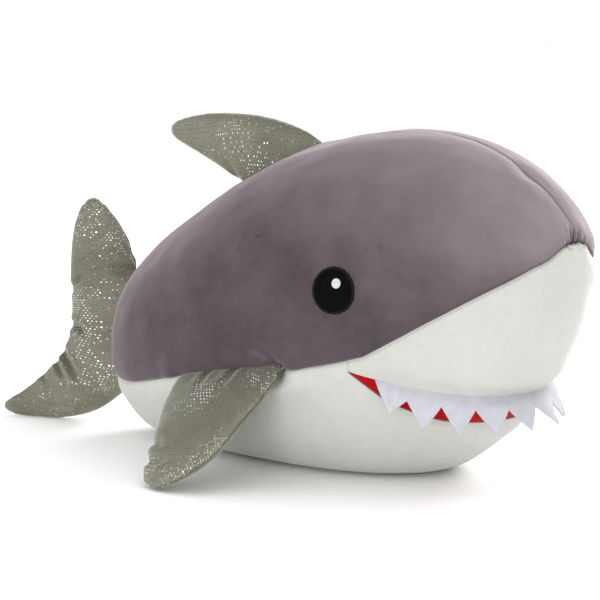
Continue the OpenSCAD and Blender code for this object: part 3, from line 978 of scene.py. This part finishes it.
# Outlines of the fins in their own planes, in millimetres
DORSAL_OUTLINE = [
    (-12, back_line(-12)), (-22, 276), (-48, 288), (-88, 297), (-129, 299), (-160, 297), (-188, 291),
    (-198, 284), (-192, 275), (-166, 264), (-136, 251), (-113, 239), (-104, back_line(-104)),
    (-74, back_line(-74)), (-42, back_line(-42))]
PECTORAL_OUTLINE = [
    (3, -7), (30, -8), (59, -8), (88, -8), (120, -6), (114, 26), (101, 52), (88, 80), (68, 98),
    (52, 107), (35, 110), (17, 101), (12, 80), (8, 54), (1, 27)]
TAIL_OUTLINE = [
    (-9, 32), (-9, 0), (-8, -34), (22, -58), (48, -76), (80, -85), (108, -86), (134, -85.5), (145, -80),
    (142, -73), (124, -62), (102, -44), (83, -24), (73, 0), (71, 28), (72, 60), (69, 95), (61, 118),
    (50, 127), (38, 121), (22, 102), (11, 80), (4, 56)]
# Creases as (points in the fin's plane, width, depth), in millimetres
PECTORAL_CREASES = [
    ([(13, 84), (24, 88), (34, 90), (46, 87)], 3.6, 5.6), ([(12, 66), (24, 70), (33, 76)], 4, 2.5),
    ([(40, -6), (44, 8), (46, 22)], 4, 2.6), ([(74, -6), (74, 10), (71, 24)], 4.5, 2.2)]
TAIL_CREASES = [
    ([(72, 40), (63, 45), (50, 56)], 3.8, 5.0), ([(73, 6), (62, 6.5), (50, -3)], 3.4, 6.5),
    ([(80, -21), (70, -34), (60, -50)], 3.4, 6.5), ([(89, -30), (82, -39), (74, -50)], 3.2, 5.0),
    ([(6, 60), (18, 62), (32, 60)], 4, 3.0), ([(10, 78), (22, 84), (36, 86)], 4, 2.6),
    ([(104, -42), (98, -52), (90, -62)], 3.4, 2.6)]
DORSAL_CREASES = [
    ([(-112, 236), (-118, 250), (-126, 262)], 4.5, 3.0), ([(-60, 262), (-70, 272), (-84, 280)], 5, 2.0)]


def within(points, outline):
    """Which points lie inside a closed outline."""
    ahead = np.roll(outline, -1, 0)
    x, y = points[:, :1], points[:, 1:]
    crosses = (outline[:, 1] > y) != (ahead[:, 1] > y)
    rise = np.where(ahead[:, 1] == outline[:, 1], 1, ahead[:, 1] - outline[:, 1])
    reach = outline[:, 0] + (y - outline[:, 1]) / rise * (ahead[:, 0] - outline[:, 0])
    return (crosses & (x < reach)).sum(1) % 2 == 1


def apart(points, others):
    """The distance of each point from each of the others."""
    return np.linalg.norm(points[:, None] - others[None], axis=2)


def cut_cloth(outline, spacing):
    """Points and triangles that fill the outline. The first points are the rim."""
    rim = respaced(outline, spacing, closed=True)
    low, high = rim.min(0), rim.max(0)
    rows = np.arange(low[1], high[1], spacing * 0.87)
    columns = np.arange(low[0], high[0], spacing)
    lattice = np.array([(x + k % 2 * spacing / 2, y) for k, y in enumerate(rows) for x in columns])
    lattice = lattice[within(lattice, rim)]
    lattice = lattice[apart(lattice, rim).min(1) > 0.62 * spacing]
    points = np.vstack([rim, lattice])
    edges = [(k, (k + 1) % len(rim)) for k in range(len(rim))]
    made = delaunay_2d_cdt([Vector(p) for p in (points * 100).tolist()], edges, [], 1, 1e-6)
    faces = [tuple(made[3][corner][0] for corner in face) for face in made[2]]
    return points, np.array(faces), len(rim)


def opposite(count, rim):
    """The numbers of the points of a fin's second face. It shares the rim with the first face."""
    index = np.arange(count)
    return np.where(index < rim, index, index + count - rim)


def inflated(flat, faces, rim, held):
    """Two such pieces of cloth, sewn together round the rim and stuffed: a cloth simulation.
    Gives the points of both faces, in metres. It runs at 100 times the size, where it is steady."""
    random = np.random.default_rng(len(flat))
    count, scale, frames = len(flat), 100, 28
    lift = random.uniform(0.02, 0.06, count)
    lift[:rim] = 0
    other = opposite(count, rim)
    upper = np.column_stack([flat * scale, lift])
    points = np.vstack([upper, upper[rim:] * [1, 1, -1]])
    made = new_object("cloth_at_work", points, np.vstack([faces, other[faces][:, ::-1]]))
    group = made.vertex_groups.new(name="sewn_root")
    group.add(held.tolist(), 1.0, "REPLACE")
    cloth = made.modifiers.new("cloth", "CLOTH")
    values = cloth.settings
    values.quality = 6
    values.mass = 0.25
    values.tension_stiffness = values.compression_stiffness = 20
    values.shear_stiffness = 8
    values.bending_stiffness = 0.6
    values.air_damping = 4
    values.use_pressure = True
    values.uniform_pressure_force = 7
    values.vertex_group_mass = "sewn_root"
    values.effector_weights.gravity = 0
    cloth.collision_settings.use_collision = False
    cloth.point_cache.frame_end = frames
    for number in range(1, frames + 1):
        bpy.context.scene.frame_set(number)
    result = made.evaluated_get(bpy.context.evaluated_depsgraph_get()).data
    ended = np.array([tuple(point.co) for point in result.vertices]) / scale
    bpy.context.scene.frame_set(1)
    bpy.data.objects.remove(made)
    return ended[:count], ended[other]


def evened(values, rounds):
    """Values round a closed rim, with their quick changes smoothed away."""
    for _ in range(rounds):
        values = (np.roll(values, 1, 0) + 2 * values + np.roll(values, -1, 0)) / 4
    return values


def spread_from(rim, moves, points):
    """Moves known on the rim, carried to points inside it."""
    weight = 1 / (apart(points, rim) ** 3 + (0.8 * MM) ** 3)
    return weight @ moves / weight.sum(1, keepdims=True)


def crease_depth(points, creases):
    """How deep the creases are at those points. Each has swollen sides, and fades out at its end."""
    total = np.zeros(len(points))
    for line, width, depth in creases:
        path = respaced(np.array(line) * MM, 0.5 * MM)
        gaps = apart(points, path)
        fade = 1 - (gaps.argmin(1) / (len(path) - 1)) ** 3
        width, depth = width * MM, depth * MM
        total -= fade * groove(gaps.min(1), depth, width, 0.35 * depth, 1.9 * width, width)
    return total


def outward_of(rim):
    """Directions that point out of a closed outline."""
    along = unit(np.roll(rim, -1, 0) - np.roll(rim, 1, 0))
    turned = np.stack([along[:, 1], -along[:, 0]], 1)
    return -turned if within((rim + turned * 0.5 * MM)[:1], rim)[0] else turned


class Fin:
    """A stuffed fin. In its own axes u and w lie in its plane and n goes through it.
    sunk tells which points of the rim, in millimetres, are held in the body's seam."""

    def __init__(self, outline, creases, thickness, sunk):
        rim_line = smooth_curve(np.array(outline) * MM, 10)
        rim_line += 0.9 * MM * outward_of(rim_line)
        self.flat, self.faces, self.rim = cut_cloth(rim_line, 2.7 * MM)
        edge = self.flat[:self.rim]
        self.inward = -outward_of(edge)
        gaps = apart(self.flat, edge)
        self.from_rim = gaps.min(1)
        faces = inflated(self.flat, self.faces, self.rim, np.nonzero(sunk(edge / MM))[0])
        fitted = evened(edge - faces[0][:self.rim, :2], 12)
        tallest = faces[0][:, 2].max() - faces[1][:, 2].min()
        self.sides = {}
        for sign, points in zip((1, -1), faces):
            plane = points[:, :2] + spread_from(points[:self.rim, :2], fitted, points[:, :2])
            rise = points[:, 2] * thickness / tallest
            depth = crease_depth(plane, creases)
            inside = np.clip(apart(plane, plane[:self.rim]).min(1) / (5 * MM), 0, 1)
            lumps = 0.35 * MM * ripple(points, 24 * MM, 81) * inside
            rise = rise + sign * (lumps - np.minimum(depth, 0.75 * np.abs(rise)))
            pulled = 0.32 * np.clip(depth, 0, None) * np.exp(-self.from_rim / (7 * MM))
            plane = plane + self.inward[gaps.argmin(1)] * pulled[:, None]
            self.sides[sign] = np.column_stack([plane, rise])

    def width_at_rim(self):
        """How far it is from each rim point straight across to the opposite rim."""
        edge, inward = self.flat[:self.rim], self.inward
        gap = edge[None] - edge[:, None]
        ahead = (gap * inward[:, None]).sum(2)
        aside = np.abs(gap[..., 0] * inward[:, None, 1] - gap[..., 1] * inward[:, None, 0])
        return np.where((aside > 3 * MM) | (ahead < 2 * MM), 1.0, ahead).min(1)


def fin_panel(fin, name, node, sign, place):
    """One face of a fin, turned in at its seam."""
    points = fin.sides[sign].copy()
    rim, count = fin.rim, len(points)
    inward = np.column_stack([fin.inward, np.zeros(rim)])
    up = np.array([0, 0, sign * MM])
    edge = points[:rim].copy()
    points[:rim] = edge + 0.40 * up
    rings = [edge + inward * 1.4 * MM + 0.10 * up, edge + inward * 4.0 * MM + 0.20 * up]
    flaps = []
    for k in range(rim):
        m = (k + 1) % rim
        flaps += [(m, k, count + k, count + m), (count + m, count + k, count + rim + k, count + rim + m)]
    at_rim = fin.faces[(fin.faces < rim).sum(1) >= 2]
    ordered = {(f[k], f[(k + 1) % 3]) for f in at_rim.tolist() for k in range(3)}
    if (0, 1) not in ordered:
        flaps = [face[::-1] for face in flaps]
    faces = [tuple(f) for f in fin.faces.tolist()] + flaps
    if sign < 0:
        faces = [face[::-1] for face in faces]
    made = new_object(name, place(np.vstack([points, *rings])), faces)
    # the print of the two faces is taken from different parts of the cloth
    other_part = 0.0 if sign > 0 else 0.5
    flat = np.vstack([fin.flat, fin.flat[:rim], fin.flat[:rim]]) + other_part
    layer = made.data.uv_layers.new(name="flat_cloth")
    corners = np.array([loop.vertex_index for loop in made.data.loops])
    layer.data.foreach_set("uv", flat[corners].astype(np.float32).ravel())
    smoother = made.modifiers.new("finer", "SUBSURF")
    smoother.levels = smoother.render_levels = 1
    thicker = made.modifiers.new("cloth", "SOLIDIFY")
    thicker.thickness = 0.9 * MM
    thicker.offset = -1
    return finished(applied(made), node, "glitter_plush")


def fin_filling(fin, name, node, place):
    """The fibre in a fin: the same shape, drawn in at the rim and thinner, with lumps."""
    rim = fin.rim
    closer = fin.inward * np.minimum(6.5 * MM, 0.38 * fin.width_at_rim())[:, None]
    inside = np.clip(fin.from_rim / (12 * MM), 0, 1)
    layers = []
    for sign in (1, -1):
        points = fin.sides[sign].copy()
        points[:, :2] += spread_from(points[:rim, :2], closer, points[:, :2])
        rise = np.clip(sign * points[:, 2], 0, None)
        shrunk = 0.78 * rise - (2.0 + 0.5 * ripple(points, 15 * MM, 83)) * MM * inside
        points[:, 2] = sign * np.maximum(shrunk, 0.2 * rise)
        layers.append(points)
    other = opposite(len(fin.flat), rim)
    faces = np.vstack([fin.faces, other[fin.faces][:, ::-1]])
    made = new_object(name, place(np.vstack([layers[0], layers[1][rim:]])), faces)
    return finished(made, node, "fibre_filling")


def fin_thread(fin, name, node, place):
    """Stitches all round a fin, in the valley between its two panels."""
    rim = fin.rim
    valley = (fin.sides[1][:rim] + fin.sides[-1][:rim]) / 2
    outward = np.column_stack([-fin.inward, np.zeros(rim)])
    valley, outward = np.vstack([valley, valley[:1]]), np.vstack([outward, outward[:1]])
    path = stitched(valley, outward, 1.3 * MM)[:-3]
    return finished(tube(name, place(path), 0.36 * MM), node, "seam_thread")


def fin_pieces(fin, names, place, start, end, mirror=False):
    """The pieces of one fin: panels of the n > 0 and n < 0 faces, filling and seam thread.
    start and end are points in the fin's own axes; they are placed in the frame, and nothing more is done
    with them."""
    def put(points):
        world = place(points)
        return world * [1, -1, 1] if mirror else world

    upper, lower, filling, thread = names
    pieces = [fin_panel(fin, *upper, 1, put), fin_panel(fin, *lower, -1, put),
              fin_filling(fin, *filling, put), fin_thread(fin, *thread, put)]
    bend_start, bend_end = (put(np.array([point]))[0].tolist() for point in (start, end))
    for piece in pieces:
        if mirror:
            piece.data.flip_normals()
        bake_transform(piece)


def dorsal_place(points):
    """The dorsal fin's own axes are the frame's x and z."""
    return np.stack([points[:, 0], -points[:, 2], points[:, 1]], 1)


def dorsal_fin():
    def sunk(rim):
        return rim[:, 1] < np.array([back_line(x) for x in rim[:, 0]]) + 2

    fin = Fin(DORSAL_OUTLINE, DORSAL_CREASES, 30 * MM, sunk)
    x, _, z = hinge_at["dorsal_fin_flop"]
    start, end = (x + 0.8 * MM, z - 2 * MM, 0), (x - 11.7 * MM, z + 27.6 * MM, 0)
    fin_pieces(fin, [
        ("dorsal_cloth_right", "dorsal_panel_right"), ("dorsal_cloth_left", "dorsal_panel_left"),
        ("dorsal_filling", "dorsal_stuffing"), ("dorsal_stitches", "dorsal_seam_thread")],
        dorsal_place, start, end)


def tail_place(points):
    """Upright, turned 20 degrees to the shark's right, and a little ahead of the hinge."""
    turn = turning("Z", 200) @ turning("X", 90)
    return points @ turn.T + hinge_at["tail_fin_swing"] + [4 * MM, 0, 0]


def tail_fin():
    fin = Fin(TAIL_OUTLINE, TAIL_CREASES, 34 * MM, lambda rim: rim[:, 0] < -6)
    fin_pieces(fin, [
        ("tail_cloth_left", "tail_panel_left"), ("tail_cloth_right", "tail_panel_right"),
        ("tail_filling", "tail_stuffing"), ("tail_stitches", "tail_seam_thread")],
        tail_place, (-4 * MM, 0, 0), (35 * MM, 0, 0))


def pectoral_place(points):
    turn = turning("Z", -3) @ turning("Y", -11.5) @ turning("X", 226)
    return points @ turn.T + hinge_at["pectoral_fin_right_flap"]


def pectoral_fins():
    fin = Fin(PECTORAL_OUTLINE, PECTORAL_CREASES, 28 * MM, lambda rim: rim[:, 1] < -4)
    for side in SIDES:
        fin_pieces(fin, [
            (f"pectoral_cloth_lower_{side}", f"pectoral_{side}_lower_panel"),
            (f"pectoral_cloth_upper_{side}", f"pectoral_{side}_upper_panel"),
            (f"pectoral_filling_{side}", f"pectoral_{side}_stuffing"),
            (f"pectoral_stitches_{side}", f"pectoral_{side}_seam_thread")],
            pectoral_place, (60 * MM, -3 * MM, 0), (60 * MM, 30 * MM, 0), mirror=side == "left")


dorsal_fin()
tail_fin()
pectoral_fins()


# ======================================= stage =======================================
VIEW_AZIMUTH, VIEW_ELEVATION, VIEW_DISTANCE, LENS = 38.0, 8.0, 1.9, 129.4
VIEW_RIGHT = Vector((math.cos(math.radians(VIEW_AZIMUTH)), math.sin(math.radians(VIEW_AZIMUTH)), 0))
VIEW_NEAR = Vector((VIEW_RIGHT.y, -VIEW_RIGHT.x, 0))    # level, towards the viewer


def softbox(name, place, aim, size, power):
    """A round lamp that the camera does not see."""
    lamp = bpy.data.lights.new(name, "AREA")
    lamp.shape = "DISK"
    lamp.size = size
    lamp.energy = power
    made = bpy.data.objects.new(name, lamp)
    made.location = place
    made.rotation_euler = (Vector(aim) - place).to_track_quat("-Z", "Y").to_euler()
    made.visible_camera = False
    bpy.context.scene.collection.objects.link(made)


def stage_floor():
    """A wide pale floor, flush with what the belly rests on."""
    turn = np.linspace(0, 2 * np.pi, 129)[:-1]
    ring_sizes = (0.5, 2.0, 8.0, 60.0)
    rings = [np.stack([r * np.cos(turn), r * np.sin(turn), 0 * turn], 1) for r in ring_sizes]
    points = np.vstack([[[0, 0, 0]], *rings])
    n = len(turn)
    faces = [(0, 1 + k, 1 + (k + 1) % n) for k in range(n)] + ring_faces(len(rings), n, first=1)
    floor = new_object("studio_floor", points, faces)
    floor.location.z = -0.2 * MM
    made = Nodes("studio_white", 0.8, Specular_IOR_Level=0.1)
    clouds = made.noise(made.place(), 0.4)
    base = made.mix(clouds, (0.97, 0.97, 0.97, 1), (0.985, 0.985, 0.985, 1))
    floor.data.materials.append(made.use(base))


def studio_light():
    """A bright white room and three softboxes: behind on the right, above, and low in front."""
    world = bpy.data.worlds.new("studio")
    bpy.context.scene.world = world
    world.use_nodes = True
    background = world.node_tree.nodes["Background"]
    background.inputs["Color"].default_value = (1.0, 1.0, 1.0, 1)
    background.inputs["Strength"].default_value = 1.02
    up = Vector((0, 0, 1))
    softbox("rim_softbox", VIEW_RIGHT * 1.35 - VIEW_NEAR * 1.75 + up * 1.0, (0.1, 0, 0.2), 1.0, 60)
    softbox("top_softbox", VIEW_RIGHT * 0.5 + up * 1.8, (0, 0, 0.1), 1.3, 8)
    softbox("low_softbox", VIEW_NEAR * 1.6 - VIEW_RIGHT * 0.9 + up * 0.08, (0.05, 0, 0.02), 0.9, 15)


def studio_camera():
    """The camera looks a little left of and below the shark, which puts it right of the middle."""
    rise = math.radians(VIEW_ELEVATION)
    back = VIEW_NEAR * math.cos(rise) + Vector((0, 0, math.sin(rise)))
    aim = Vector((0, 0, 0.150)) - VIEW_RIGHT * 0.0376 - back.cross(VIEW_RIGHT) * 0.0103
    camera = bpy.data.objects.new("camera", bpy.data.cameras.new("camera"))
    camera.data.lens = LENS
    camera.data.sensor_width = 36
    camera.location = aim + back * VIEW_DISTANCE
    camera.rotation_euler = (-back).to_track_quat("-Z", "Y").to_euler()
    bpy.context.scene.collection.objects.link(camera)
    bpy.context.scene.camera = camera


stage_floor()
studio_light()
studio_camera()
bpy.context.scene.view_settings.view_transform = "Standard"
